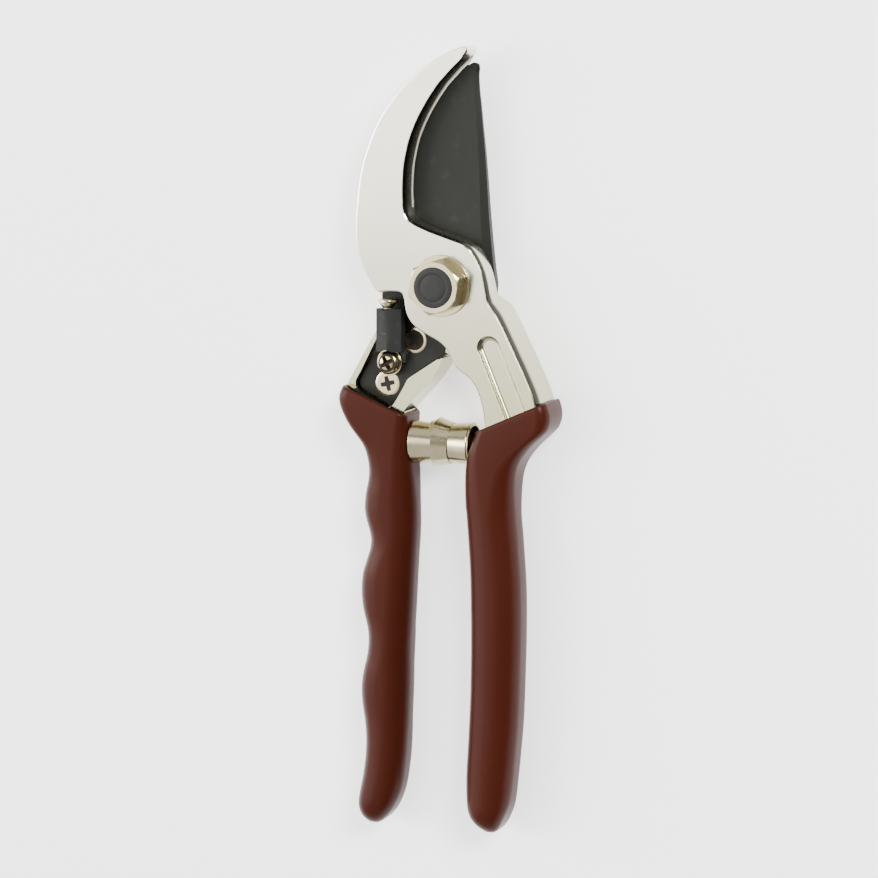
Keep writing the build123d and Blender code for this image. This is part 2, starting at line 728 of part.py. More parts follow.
with BuildPart() as blade_spring_peg:
    with BuildSketch(Plane.YZ.offset(spring_left - peg_sunk + running_fit)):
        with Locations((spring_y, spring_z)):
            Circle(peg_radius)
    extrude(amount=peg_sunk + peg_free)
    chamfer(blade_spring_peg.edges().sort_by(Axis.X)[-1], edge_break)
blade_spring_peg.part.label = "blade_spring_peg"
export_step(blade_spring_peg.part, "parts/blade_spring_peg.step")

with BuildPart() as hook_spring_peg:
    with BuildSketch(Plane.YZ.offset(spring_right + peg_sunk - running_fit)):
        with Locations((spring_y, spring_z)):
            Circle(peg_radius)
    extrude(amount=-(peg_sunk + peg_free))
    chamfer(hook_spring_peg.edges().sort_by(Axis.X)[0], edge_break)
hook_spring_peg.part.label = "hook_spring_peg"
export_step(hook_spring_peg.part, "parts/hook_spring_peg.step")
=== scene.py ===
from math import cos, hypot, pi, radians, sin

import bmesh
import bpy
import numpy as np
from mathutils import Matrix, Vector


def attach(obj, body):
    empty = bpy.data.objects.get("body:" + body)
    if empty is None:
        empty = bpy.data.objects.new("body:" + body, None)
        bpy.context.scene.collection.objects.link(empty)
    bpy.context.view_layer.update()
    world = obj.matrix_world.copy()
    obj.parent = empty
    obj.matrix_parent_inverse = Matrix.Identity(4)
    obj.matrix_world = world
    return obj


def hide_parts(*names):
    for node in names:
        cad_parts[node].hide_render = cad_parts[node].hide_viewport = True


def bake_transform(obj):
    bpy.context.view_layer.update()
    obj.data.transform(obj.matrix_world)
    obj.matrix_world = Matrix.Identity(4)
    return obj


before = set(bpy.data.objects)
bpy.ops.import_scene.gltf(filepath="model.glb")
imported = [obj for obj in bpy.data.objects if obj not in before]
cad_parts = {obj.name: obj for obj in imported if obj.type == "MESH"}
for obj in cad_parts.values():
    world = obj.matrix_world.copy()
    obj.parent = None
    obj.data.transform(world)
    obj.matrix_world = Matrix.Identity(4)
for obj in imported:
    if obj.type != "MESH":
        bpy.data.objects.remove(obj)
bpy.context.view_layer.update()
scene = bpy.context.scene
MM = 0.001


# ---- table top, studio light and camera ----------------------------------------------------------
# The shears lie flat on a pale matt sheet. Two soft boxes and a white tent with a dark opening light
# them, so that the polished faces show broad gradients and the walls keep a dark line at each edge.
# On the hook's bevels and in its recess that dark line is also painted into the metal's colour as shade.
class Wire:
    """An output of the material being made. Its operators add Math nodes."""

    tree = None

    def __init__(self, socket):
        self.socket = socket

    @classmethod
    def node(cls, kind, settings=(), inputs=(), out=0):
        made = cls.tree.nodes.new("ShaderNode" + kind)
        for name, value in dict(settings).items():
            setattr(made, name, value)
        for name, value in dict(inputs).items():
            if isinstance(value, Wire):
                cls.tree.links.new(value.socket, made.inputs[name])
            else:
                made.inputs[name].default_value = value
        return cls(made.outputs[out])

    def sum_of(self, operation, other, swapped=False):
        first, second = (other, self) if swapped else (self, other)
        return Wire.node("Math", {"operation": operation}, {0: first, 1: second})

    def __add__(self, other):
        return self.sum_of("ADD", other)

    __radd__ = __add__

    def __mul__(self, other):
        return self.sum_of("MULTIPLY", other)

    __rmul__ = __mul__

    def __sub__(self, other):
        return self.sum_of("SUBTRACT", other)

    def __rsub__(self, other):
        return self.sum_of("SUBTRACT", other, swapped=True)

    def over(self, low, high):
        """0 below low, 1 above high, and smooth between them."""
        return Wire.node(
            "MapRange",
            {"interpolation_type": "SMOOTHSTEP"},
            {"Value": self, "From Min": low, "From Max": high},
        )

    def tint(self, first, second):
        """first where this is 0, second where it is 1."""
        mixed = Wire.node("Mix", {"data_type": "RGBA"}, {"Factor": self}, out="Result")
        made = mixed.socket.node
        sockets = [s for s in made.inputs if s.type == "RGBA"]
        for socket, tone in zip(sockets, (first, second)):
            if isinstance(tone, Wire):
                Wire.tree.links.new(tone.socket, socket)
            else:
                socket.default_value = (*tone, 1)
        return Wire([s for s in made.outputs if s.type == "RGBA"][0])


def finish_of(name, fixed, varying):
    """A material: constants go straight on the shader's sockets, and varying() wires the rest."""
    made = bpy.data.materials.new(name)
    made.use_nodes = True
    Wire.tree = made.node_tree
    shader = made.node_tree.nodes["Principled BSDF"]
    for socket, value in fixed.items():
        shader.inputs[socket].default_value = value
    for socket, wire in varying().items():
        made.node_tree.links.new(wire.socket, shader.inputs[socket])
    return made


def noise(scale, detail=3.0, roughness=0.55, stretch=(1, 1, 1)):
    """Noise on the piece's own coordinates. scale is in waves for each metre."""
    place = Wire.node("TexCoord", out="Object")
    place = Wire.node("Mapping", inputs={"Vector": place, "Scale": stretch})
    return Wire.node(
        "TexNoise", inputs={"Vector": place, "Scale": scale, "Detail": detail, "Roughness": roughness}
    )


def cells(scale):
    place = Wire.node("TexCoord", out="Object")
    return Wire.node("TexVoronoi", inputs={"Vector": place, "Scale": scale})


def bumped(height, depth, strength=1.0):
    """A bump of that depth in metres."""
    return Wire.node("Bump", inputs={"Strength": strength, "Distance": depth, "Height": height})


def plain_mesh(name, points, faces, creased=30.0):
    """A closed mesh from points in millimetres, smooth except over its creases."""
    mesh = bpy.data.meshes.new(name)
    mesh.from_pydata([tuple(v * MM for v in p) for p in points], [], faces)
    made = bpy.data.objects.new(name, mesh)
    scene.collection.objects.link(made)
    return tidy_mesh(made, creased)


def tidy_mesh(made, creased=30.0):
    """Turns the faces outwards and marks creases sharp."""
    shape = bmesh.new()
    shape.from_mesh(made.data)
    bmesh.ops.recalc_face_normals(shape, faces=shape.faces)
    shape.to_mesh(made.data)
    shape.free()
    made.data.shade_smooth()
    made.data.set_sharp_from_angle(angle=radians(creased))
    return made


def weighted(made):
    """Large flat faces keep their direction, and the rounds between them take up the turn."""
    level = made.modifiers.new("weighted", "WEIGHTED_NORMAL")
    level.keep_sharp = True
    level.weight = 90
    bpy.context.view_layer.update()
    result = bpy.data.meshes.new_from_object(made.evaluated_get(bpy.context.evaluated_depsgraph_get()))
    made.modifiers.clear()
    made.data = result
    return made


def with_finish(made, finish):
    made.data.materials.clear()
    made.data.materials.append(finish)
    return made


sheet_reach = 4000.0
sheet = plain_mesh("pale_sheet", [
    (x * sheet_reach, y * sheet_reach, -0.15) for x, y in ((-1, -1), (1, -1), (1, 1), (-1, 1))], [(0, 1, 2, 3)])


def sheet_finish():
    grain = noise(900.0)
    tone = grain.tint((0.90, 0.90, 0.90), (0.94, 0.94, 0.94))
    return {"Base Color": tone, "Emission Color": tone, "Roughness": 0.7 + grain * 0.2}


with_finish(sheet, finish_of("pale_matt_sheet", {"Specular IOR Level": 0.2, "Emission Strength": 1.3}, sheet_finish))

view_turn, view_lift, view_reach = radians(20.5), radians(8.0), 1.0
to_eye = Vector((sin(view_turn) * cos(view_lift), sin(view_lift), cos(view_turn) * cos(view_lift)))
eye_right = Vector((cos(view_turn), 0, -sin(view_turn)))
eye_up = to_eye.cross(eye_right)
look_at = Vector((-0.003007, -0.041332, 0.008))
lens = bpy.data.cameras.new("bench_view")
lens.lens = 36 * 3790 / 878
lens.sensor_width = 36
camera = bpy.data.objects.new("bench_view", lens)
facing = Matrix((eye_right, eye_up, to_eye)).transposed().to_4x4()
camera.matrix_world = Matrix.Translation(look_at + view_reach * to_eye) @ facing
scene.collection.objects.link(camera)
scene.camera = camera


def soft_box(name, place, target, size, power):
    lamp = bpy.data.lights.new(name, "AREA")
    lamp.shape = "RECTANGLE"
    lamp.size, lamp.size_y = size
    lamp.energy = power
    made = bpy.data.objects.new(name, lamp)
    made.location = place
    made.rotation_euler = (Vector(target) - Vector(place)).to_track_quat("-Z", "Y").to_euler()
    scene.collection.objects.link(made)


soft_box("over_right", (0.75, 0.55, 0.95), (0, -0.04, 0), (0.45, 0.45), 30.0)
soft_box("over_left", (-0.95, 0.1, 0.6), (0, -0.04, 0), (0.4, 1.1), 14.0)


def studio_sky():
    """White tent with a dark opening round the viewer and a dark band low at the right."""
    world = bpy.data.worlds.new("studio")
    world.use_nodes = True
    scene.world = world
    Wire.tree = world.node_tree
    way = Wire.node("TexCoord", out="Generated")

    def towards(direction, near, far):
        unit = Vector(direction).normalized()
        along = Wire.node("VectorMath", {"operation": "DOT_PRODUCT"}, {0: way, 1: unit}, out="Value")
        return along.over(cos(radians(far)), cos(radians(near)))

    split = Wire.node("SeparateXYZ", inputs={"Vector": way}, out="Z")
    side = Wire.node("SeparateXYZ", inputs={"Vector": way}, out="X")
    level = 1.1 + towards((-0.42, 0.24, 0.88), 5, 31) * 3.6 + towards((-0.85, -0.05, 0.5), 10, 38) * 2.4
    level = level + towards((0.95, -0.1, 0.1), 2, 14) * 0.6
    level = level * (1 - towards((0.50, 0.10, 0.86), 14, 34) * 0.93)
    ahead = Wire.node("SeparateXYZ", inputs={"Vector": way}, out="Y")
    level = level * (1 - ahead.over(0.34, 0.42) * (1 - ahead.over(0.58, 0.66)) * 0.8)
    low_band = split.over(0.03, 0.10) * (1 - split.over(0.62, 0.80)) * side.over(0.15, 0.5)
    level = level * (1 - low_band * 0.94)
    background = world.node_tree.nodes["Background"]
    background.inputs["Color"].default_value = (1.0, 0.99, 0.965, 1)
    world.node_tree.links.new(level.socket, background.inputs["Strength"])


studio_sky()


# ---- hook frame ----------------------------------------------------------------------------------
# The hook, hub and arm are one aluminium forging, ground flat and polished on its front, with drafted
# walls, a bevel and a thin lip where the blade passes, and a long recess pressed into the arm.
def smooth_path(points, gap=0.7, closed=False):
    """Points about a gap apart on a curve through the given ones."""
    given = np.array(points, float)
    if len(given) == 2:
        count = max(2, int(np.ceil(np.linalg.norm(given[1] - given[0]) / gap)) + 1)
        return [tuple(p) for p in np.linspace(given[0], given[1], count)]
    if closed:
        padded = np.vstack([given[-2:], given, given[:3]])
    else:
        padded = np.vstack([2 * given[0] - given[1], given, 2 * given[-1] - given[-2]])
    dense = []
    last = len(padded) - 2 if not closed else len(padded) - 3
    for i in range(2 if closed else 1, last):
        a, b, c, d = padded[i - 1 : i + 3]
        for t in np.linspace(0, 1, 12, endpoint=False):
            dense.append(
                0.5 * (2 * b + (c - a) * t + (2 * a - 5 * b + 4 * c - d) * t**2 + (3 * b - a - 3 * c + d) * t**3)
            )
    dense.append(given[0] if closed else given[-1])
    dense = np.array(dense)
    along = np.concatenate([[0], np.cumsum(np.linalg.norm(np.diff(dense, axis=0), axis=1))])
    count = max(3, int(round(along[-1] / gap)) + 1)
    marks = np.linspace(0, along[-1], count)
    if closed:
        marks = marks[:-1]
    return [tuple(np.interp(m, along, dense[:, k]) for k in range(given.shape[1])) for m in marks]


def joined(*runs):
    """One closed loop from runs that meet end to end. Each point keeps the name of its run."""
    loop, names = [], []
    for name, run in runs:
        for p in run:
            if not loop or hypot(p[0] - loop[-1][0], p[1] - loop[-1][1]) > 0.05:
                loop.append(p)
                names.append(name)
    if hypot(loop[0][0] - loop[-1][0], loop[0][1] - loop[-1][1]) < 0.05:
        loop.pop()
        names.pop()
    return np.array(loop, float), names


def inward(loop):
    """Unit vectors square to a loop, towards its inside."""
    ahead = np.roll(loop, -1, 0) - loop
    ahead /= np.linalg.norm(ahead, axis=1)[:, None]
    back = np.roll(ahead, 1, 0)
    along = ahead + back
    along /= np.linalg.norm(along, axis=1)[:, None]
    area = 0.5 * np.sum(loop[:, 0] * np.roll(loop[:, 1], -1) - np.roll(loop[:, 0], -1) * loop[:, 1])
    square = np.stack([-along[:, 1], along[:, 0]], 1)
    return square if area > 0 else -square


def softened(values, reach):
    """Averages round a loop, over reach points each way."""
    total = sum(np.roll(values, k, 0) for k in range(-reach, reach + 1))
    return total / (2 * reach + 1)


def ring_faces(rows, count):
    """Quads that join rows of count points, each row to the next."""
    faces = []
    for k in range(rows - 1):
        for i in range(count):
            j = (i + 1) % count
            faces.append((k * count + i, k * count + j, (k + 1) * count + j, (k + 1) * count + i))
    return faces


def drafted(name, loop, names, profiles, creased=24.0, reach=2, painted_shade_rings=(), painted_shade_runs=()):
    """Rings of a loop at several levels: profiles gives, for each run, (level, inset) from the bottom up."""
    square = inward(loop)
    steps = len(next(iter(profiles.values())))
    table = np.array([profiles.get(n, profiles["rest"]) for n in names], float)
    table = softened(table, reach)
    points = []
    count = len(loop)
    for k in range(steps):
        ring = loop + square * table[:, k, 1][:, None]
        points += [(x, y, z) for (x, y), z in zip(ring, table[:, k, 0])]
    faces = ring_faces(steps, count)
    faces.append(tuple(reversed(range(count))))
    faces.append(tuple(range((steps - 1) * count, steps * count)))
    made = plain_mesh(name, points, faces, creased)
    # The chosen bevel rings on the chosen runs get painted shade: a dark line in the colour that stands in for the dark
    # reflection along the polished edge.
    share = softened(np.array([1.0 if n in painted_shade_runs else 0.0 for n in names]), 4)
    painted_edge_shade = made.data.attributes.new("painted_edge_shade", "FLOAT", "POINT")
    painted_edge_shade.data.foreach_set("value", [
        float(share[i]) if k in painted_shade_rings else 0.0 for k in range(steps) for i in range(count)])
    return made


outer_run = smooth_path([
    (4.9, 62.0), (2.5, 61.1), (-2.5, 58.5), (-6.1, 55.9), (-9.3, 53.2), (-11.9, 50.6), (-14.2, 47.9),
    (-16.1, 45.3), (-17.7, 42.7), (-19.0, 40.1), (-20.1, 37.4), (-21.1, 34.8), (-22.0, 32.2), (-22.65, 29.5),
    (-23.15, 26.9), (-23.5, 24.3), (-23.8, 21.6), (-24.05, 19.0), (-24.25, 16.4), (-24.3, 13.8), (-24.15, 11.1),
    (-23.7, 8.5), (-22.9, 5.9), (-21.8, 3.3), (-20.5, 0.85), (-19.5, -0.85), (-18.8, -1.75), (-18.0, -2.4)])
shoulder_run = smooth_path([(-18.0, -2.4), (-17.2, -2.6), (-15.6, -2.4), (-12.4, -2.3), (-11.2, -2.6)])
boss_run = smooth_path([
    (-11.2, -2.6), (-10.8, -3.6), (-10.5, -5.2), (-10.2, -7.1), (-9.5, -8.8), (-8.4, -10.4), (-7.0, -11.6),
    (-5.4, -12.6), (-3.2, -13.8), (-1.0, -14.9), (0.7, -16.2), (1.9, -17.7), (2.8, -19.6), (3.8, -21.4)])
arm_left_run = smooth_path([
    (3.8, -21.4), (5.0, -22.3), (6.8, -23.4), (8.3, -24.8), (9.6, -26.6), (10.6, -29.1), (11.3, -31.7),
    (11.7, -34.4), (11.9, -38.0), (11.9, -42.0)])
arm_end_run = smooth_path([(11.9, -42.0), (22.5, -42.0)])
arm_right_run = smooth_path([
    (22.5, -42.0), (27.2, -34.5), (27.3, -31.0), (26.4, -27.6), (24.8, -23.9), (23.1, -20.3), (21.4, -16.9),
    (19.6, -13.3), (17.9, -9.9), (16.3, -7.0), (15.2, -5.5), (13.9, -3.9)])
hub_right_run = smooth_path([
    (13.9, -3.9), (13.3, -1.6), (12.8, 1.0), (12.1, 3.7), (11.1, 6.1), (9.7, 8.6), (8.3, 10.4)])
crown_run = smooth_path([
    (8.3, 10.4), (6.2, 11.6), (2.5, 12.8), (-0.3, 13.7), (-3.1, 14.6), (-5.9, 15.7), (-7.4, 16.4), (-8.7, 17.4),
    (-9.3, 18.6)])
blade_side_run = smooth_path([
    (-9.3, 18.6), (-9.7, 21.6), (-9.8, 24.2), (-9.7, 27.6), (-9.4, 31.1), (-8.8, 34.2), (-8.0, 37.4), (-6.9, 40.3),
    (-5.5, 43.3), (-4.1, 45.8), (-2.7, 48.1), (-1.3, 50.1), (0.1, 52.0), (1.5, 53.5), (2.9, 55.0), (4.2, 56.3),
    (5.6, 57.6), (6.7, 58.9), (7.4, 60.2)])
tip_run = smooth_path([(7.4, 60.2), (7.5, 61.3), (6.9, 62.2), (5.9, 62.35), (4.9, 62.0)], 0.4)
hook_loop, hook_names = joined(
    ("outer", outer_run), ("shoulder", shoulder_run), ("boss", boss_run), ("arm_left", arm_left_run),
    ("arm_end", arm_end_run), ("arm_right", arm_right_run), ("hub_right", hub_right_run), ("crown", crown_run),
    ("blade_side", blade_side_run), ("tip", tip_run))

plain_wall = [(8.1, 0.35), (8.1, 0.3), (8.1, 0.25), (8.25, 0.08), (8.5, 0.0), (10.5, 0.0), (13.6, 0.05),
              (14.05, 0.16), (14.36, 0.40), (14.5, 0.75)]
arm_wall = [(8.1, 3.0), (1.55, 2.9), (1.5, 0.9), (1.65, 0.35), (2.4, 0.0), (6.5, 0.0), (10.6, 0.22),
            (13.2, 0.70), (14.15, 1.02), (14.5, 1.45)]
arm_inner_wall = [(8.1, 3.0), (1.55, 2.9), (1.5, 0.9), (1.65, 0.35), (2.4, 0.1), (6.5, 0.0), (10.6, 0.0),
                  (13.6, 0.05), (14.3, 0.20), (14.5, 0.45)]
hub_wall = [(8.1, 0.35), (8.1, 0.3), (8.1, 0.25), (8.25, 0.08), (8.6, 0.0), (10.4, 0.05), (12.2, 0.22),
            (13.5, 0.50), (14.2, 0.78), (14.5, 1.15)]
lip_wall = [(8.1, 0.12), (8.1, 0.10), (8.1, 0.05), (8.2, 0.0), (8.9, 0.0), (9.05, 0.12), (9.1, 0.42),
            (14.1, 0.92), (14.2, 1.08), (14.5, 1.28)]
crown_wall = [(8.1, 0.35), (8.1, 0.3), (8.1, 0.25), (8.25, 0.08), (8.5, 0.0), (10.5, 0.0), (13.3, 0.15),
              (13.9, 0.35), (14.3, 0.70), (14.5, 1.15)]
# Rings 7 and 8, the front bevel of the inner and right walls, get painted shade along the edge.
hook_frame = drafted("hook_forging", hook_loop, hook_names, {
    "rest": plain_wall, "arm_left": arm_inner_wall, "arm_end": arm_wall, "arm_right": arm_wall,
    "hub_right": hub_wall, "crown": crown_wall, "blade_side": lip_wall},
    painted_shade_rings=(7, 8), painted_shade_runs=("arm_right", "hub_right", "crown", "blade_side"))


def slot_cutter(name, middle, slant, length, width, bottom, top, flare):
    """A long round-ended block whose walls lean outwards towards the top.

    Each level is (height, how much wider, how much painted shade); its left side takes the most painted shade, standing
    in for the shade on the recess's left wall."""
    points = []
    count = 24
    lean, dark = radians(slant), []
    levels = [
        (bottom, -0.80, 0.3), (bottom + 0.1, -0.45, 1.0), (bottom + 0.3, -0.12, 1.0), (bottom + 0.5, 0.0, 0.0),
        (top - 0.75, flare * 0.7, 0.0), (top - 0.65, flare, 1.0), (top - 0.41, flare + 0.3, 1.0),
        (top, flare + 0.8, 1.0)]
    for z, wider, shade in levels:
        radius = width / 2 + wider
        for half in (0, 1):
            for k in range(count + 1):
                turn = pi * k / count - pi / 2 + half * pi
                x = (0.5 - half) * length + radius * cos(turn)
                y = radius * sin(turn)
                across, up = x * cos(lean) - y * sin(lean), x * sin(lean) + y * cos(lean)
                points.append((middle[0] + across, middle[1] + up, z))
                # Painted shade: the recess's left wall gets the darkest colour, as if it lay in shade.
                dark.append(shade * (0.25 + 0.75 * max(0.0, -cos(turn + lean))))
    ring = 2 * (count + 1)
    faces = ring_faces(len(levels), ring)
    faces.append(tuple(reversed(range(ring))))
    faces.append(tuple(range((len(levels) - 1) * ring, len(levels) * ring)))
    made = plain_mesh(name, points, faces)
    made.data.attributes.new("painted_edge_shade", "FLOAT", "POINT").data.foreach_set("value", dark)
    return made


def cut_by(made, cutter, operation="DIFFERENCE"):
    """Takes the cutter out of a mesh and removes the cutter."""
    cut = made.modifiers.new("cut", "BOOLEAN")
    cut.operation = operation
    cut.solver = "EXACT"
    cut.object = cutter
    bpy.context.view_layer.update()
    result = bpy.data.meshes.new_from_object(made.evaluated_get(bpy.context.evaluated_depsgraph_get()))
    made.modifiers.clear()
    made.data = result
    bpy.data.objects.remove(cutter)
    return tidy_mesh(made, 24.0)


recess_slant, recess_reach = -67.2, 22.0
recess_start = (13.1, -15.8)
recess_middle = (
    recess_start[0] + recess_reach / 2 * cos(radians(recess_slant)),
    recess_start[1] + recess_reach / 2 * sin(radians(recess_slant)))
recess = slot_cutter("recess", recess_middle, recess_slant, recess_reach, 5.1, 12.9, 14.85, 0.25)
cut_by(hook_frame, recess)

hub_sweep = 14.3
heel_loop, heel_names = joined(
    ("rest", smooth_path([(0.0, -17.9), (0.0, -hub_sweep)])),
    ("rest", smooth_path([(hub_sweep * sin(radians(a)), -hub_sweep * cos(radians(a))) for a in range(0, 71, 7)])),
    ("rest", smooth_path([(13.4, -4.9), (14.6, -6.0), (16.3, -9.0), (18.9, -14.0), (22.0, -20.2), (25.0, -27.0),
                          (25.8, -33.0), (21.0, -41.0)])),
    ("rest", smooth_path([(21.0, -41.0), (13.0, -41.0)])),
    ("rest", smooth_path([(13.0, -41.0), (12.7, -34.0), (11.5, -28.8), (9.6, -25.4), (6.8, -23.6), (3.6, -21.6),
                          (2.3, -19.4), (0.0, -17.9)])))
hook_heel = drafted("hook_heel", heel_loop, heel_names, {"rest": [(1.52, 0.3), (1.75, 0.05), (3.0, 0.0), (12.0, 0.4)]})


def wear(scale):
    """Faint streaks and smudges of handling, 0 to 1."""
    return noise(scale, 5.0, 0.62)


def polished_metal():
    clouds = noise(45.0, 2.0)
    smudge = wear(420.0)
    pits = cells(1500.0).over(0.10, 0.24)
    spots = noise(700.0, 2.0).over(0.60, 0.70)
    place = Wire.node("TexCoord", out="Object")
    # The colour runs from a darker cream low on the frame to a lighter cream towards the hook's tip.
    towards_hook_tip = Wire.node("SeparateXYZ", inputs={"Vector": place}, out="Y").over(-0.030, 0.034)
    cream = clouds.tint((0.40, 0.385, 0.25), (0.53, 0.51, 0.35))
    light = towards_hook_tip.tint(cream, clouds.tint((0.70, 0.67, 0.56), (0.84, 0.81, 0.71)))
    hollow = (1 - pits) * spots
    # The attribute marks painted shade: there the colour goes near black, a painted dark reflection along the bevels
    # and in the recess.
    edge = Wire.node("Attribute", {"attribute_name": "painted_edge_shade"}, out="Fac").over(0.25, 0.9)
    return {
        "Base Color": (edge * 0.97).tint(hollow.tint(light, (0.34, 0.32, 0.27)), (0.012, 0.011, 0.009)),
        "Roughness": 0.13 + clouds * 0.07 + smudge * 0.06 + hollow * 0.2,
        "Normal": bumped(smudge * 0.4 + clouds * 2.4 - hollow * 1.2, 0.00003, 0.5),
    }


bright_alloy = finish_of("bright_alloy", {"Metallic": 1.0}, polished_metal)


def mounted(made, finish, body, slot, *nodes):
    """Gives a piece its finish and body, and hides the nodes it stands for. slot is not used."""
    if finish is not None:
        with_finish(made, finish)
    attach(made, body)
    if nodes:
        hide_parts(*nodes)
    return made


def welded(name, *parts):
    """One object from several closed shells."""
    shape = bmesh.new()
    for part in parts:
        shape.from_mesh(part.data)
    mesh = bpy.data.meshes.new(name)
    shape.to_mesh(mesh)
    shape.free()
    made = bpy.data.objects.new(name, mesh)
    scene.collection.objects.link(made)
    for part in parts:
        bpy.data.objects.remove(part)
    made.data.shade_smooth()
    made.data.set_sharp_from_angle(angle=radians(24))
    return weighted(made)


mounted(welded("hook_frame_forged", hook_frame, hook_heel), bright_alloy, "hook_half", "polished_frame", "hook_frame")


# ---- blade frame ---------------------------------------------------------------------------------
# The second forging carries the blade: a plate round the pivot, a pocket that the blade's tang is
# screwed into, a low rim at the left and a raised pad at the right. It is polished like the hook half.
def eased(name, node, width, steps=3, creased=35.0, angle=28.0, hidden_below=None, cutter=None, reshape=None):
    """A copy of a milled or turned piece with its edges broken by a small round."""
    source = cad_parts[node]
    mesh = source.data.copy()
    made = bpy.data.objects.new(name, mesh)
    scene.collection.objects.link(made)
    shape = bmesh.new()
    shape.from_mesh(mesh)
    bmesh.ops.remove_doubles(shape, verts=shape.verts, dist=2e-6)
    bmesh.ops.dissolve_limit(shape, angle_limit=radians(1.0), verts=shape.verts, edges=shape.edges)
    if hidden_below is not None:
        everything = shape.verts[:] + shape.edges[:] + shape.faces[:]
        bmesh.ops.bisect_plane(
            shape, geom=everything, plane_co=(0, hidden_below * MM, 0), plane_no=(0, 1, 0), clear_inner=True)
        bmesh.ops.holes_fill(shape, edges=[e for e in shape.edges if e.is_boundary])
    if reshape is not None:
        reshape(shape)
    shape.to_mesh(mesh)
    shape.free()
    mesh.materials.clear()
    if cutter is not None:
        cut_by(made, cutter)
    rounding = made.modifiers.new("eased", "BEVEL")
    rounding.width = width * MM
    rounding.segments = steps
    rounding.limit_method = "ANGLE"
    rounding.angle_limit = radians(angle)
    rounding.use_clamp_overlap = True
    rounding.harden_normals = False
    bpy.context.view_layer.update()
    result = bpy.data.meshes.new_from_object(made.evaluated_get(bpy.context.evaluated_depsgraph_get()))
    made.modifiers.clear()
    made.data = result
    made.data.shade_smooth()
    made.data.set_sharp_from_angle(angle=radians(creased))
    return weighted(made)


pocket_loop, pocket_names = joined(("rest", smooth_path([
    (-14.0, -9.0), (-20.8, -18.3), (-24.9, -25.0), (-25.75, -26.9), (-25.4, -28.6), (-23.8, -29.8), (-18.8, -32.4),
    (-17.2, -33.3), (-16.0, -33.25), (-14.8, -32.2), (-13.3, -29.9), (-11.4, -26.6), (-10.6, -25.2), (-8.2, -23.5),
    (-5.0, -21.4), (-2.4, -19.7), (-0.9, -18.7), (-0.9, -12.0), (-8.0, -8.0), (-14.0, -9.0)])))
pocket = drafted("pocket", pocket_loop, pocket_names, {"rest": [(5.0, 0.0), (8.0, 0.0), (12.5, -0.25)]}, reach=0)
blade_forging = eased(
    "blade_frame_forged", "blade_frame", 0.36, hidden_below=-60.0, cutter=pocket)
mounted(blade_forging, bright_alloy, "blade_half", "polished_frame", "blade_frame")


# ---- cutting blade -------------------------------------------------------------------------------
# Hardened steel with a black low-friction coating. It is flat towards the hook, tapers on its back
# towards the tip, and has a ground facet along its spine that widens towards the pivot.
edge_run = smooth_path([
    (5.4, 57.2), (2.5, 56.3), (-2.2, 52.2), (-5.6, 47.6), (-8.2, 43.1), (-10.2, 38.2), (-11.6, 33.1), (-12.5, 28.0),
    (-12.9, 23.1), (-13.0, 18.0), (-12.9, 13.7), (-12.9, 6.0), (-12.8, 1.8)], 1.0)
tang_run = smooth_path([
    (-12.8, 1.8), (-14.4, 0.6), (-17.8, -1.2), (-19.0, -2.6), (-19.0, -5.0), (-18.0, -9.0), (-17.8, -12.6),
    (-20.6, -18.3), (-24.6, -24.9)], 1.0)
tang_foot_run = smooth_path([
    (-24.6, -24.9), (-25.4, -26.8), (-25.1, -28.3), (-23.6, -29.4), (-18.6, -32.0), (-17.2, -32.9),
    (-16.2, -32.9), (-15.1, -32.0), (-13.6, -29.8), (-11.7, -26.6), (-10.9, -25.0)], 0.8)
tang_right_run = smooth_path([(-10.9, -25.0), (-8.4, -23.2), (-4.0, -20.4), (-0.6, -18.2)], 1.0)
tang_neck_run = smooth_path([(-0.6, -18.2), (-0.6, -12.7)], 1.0)
disc_run = smooth_path([(12.6 * cos(radians(a)), 12.6 * sin(radians(a))) for a in range(-92, 3, 6)], 1.0)
spine_run = smooth_path([
    (12.6, 0.6), (12.2, 3.0), (11.6, 8.0), (11.0, 14.0), (10.6, 19.0), (10.25, 24.5), (9.9, 29.8), (9.5, 35.0),
    (8.95, 40.7), (8.5, 45.9), (8.0, 51.0), (7.9, 54.6), (8.1, 56.3)], 1.0)
blade_tip_run = smooth_path([(8.1, 56.3), (7.9, 57.3), (7.0, 57.75), (6.2, 57.7), (5.4, 57.2)], 0.4)
blade_loop, blade_names = joined(
    ("edge", edge_run), ("tang", tang_run), ("tang", tang_foot_run), ("tang", tang_right_run), ("tang", tang_neck_run),
    ("tang", disc_run), ("spine", spine_run), ("tip", blade_tip_run))


def blade_back_at(y):
    """Level of the blade's back, which rises towards the tip."""
    return 5.03 + max(0.0, (y - 14.0) / 48.5) * 2.0


blade_front_level = 7.98
facet_foot, facet_tip = 2.3, 0.8
points, faces = [], []
square = inward(blade_loop)
count = len(blade_loop)
edge_share = softened(np.array([1.0 if n == "edge" else 0.0 for n in blade_names]), 3)
spine_share = softened(np.array([1.0 if n == "spine" else 0.0 for n in blade_names]), 1)
for i, (x, y) in enumerate(blade_loop):
    back = blade_back_at(y)
    ground = edge_share[i] * min(1.0, max(0.0, (y - 2.0) / 10.0))
    facet = spine_share[i] * (facet_tip + (facet_foot - facet_tip) * max(0.0, min(1.0, (54.0 - y) / 48.0)))
    facet_fall = 0.55 * min(1.0, facet)
    ring = [
        (2.6 * ground + 0.12, back),
        (0.05, back + (blade_front_level - back - 0.15) * ground + 0.08),
        (0.0, blade_front_level - 0.1 - facet_fall),
        (0.08, blade_front_level - facet_fall),
        (0.16 + 0.96 * facet, blade_front_level - 0.03 * min(1.0, facet)),
        (0.2 + facet, blade_front_level),
    ]
    points += [(x + square[i][0] * inset, y + square[i][1] * inset, z) for inset, z in ring]
steps = 6
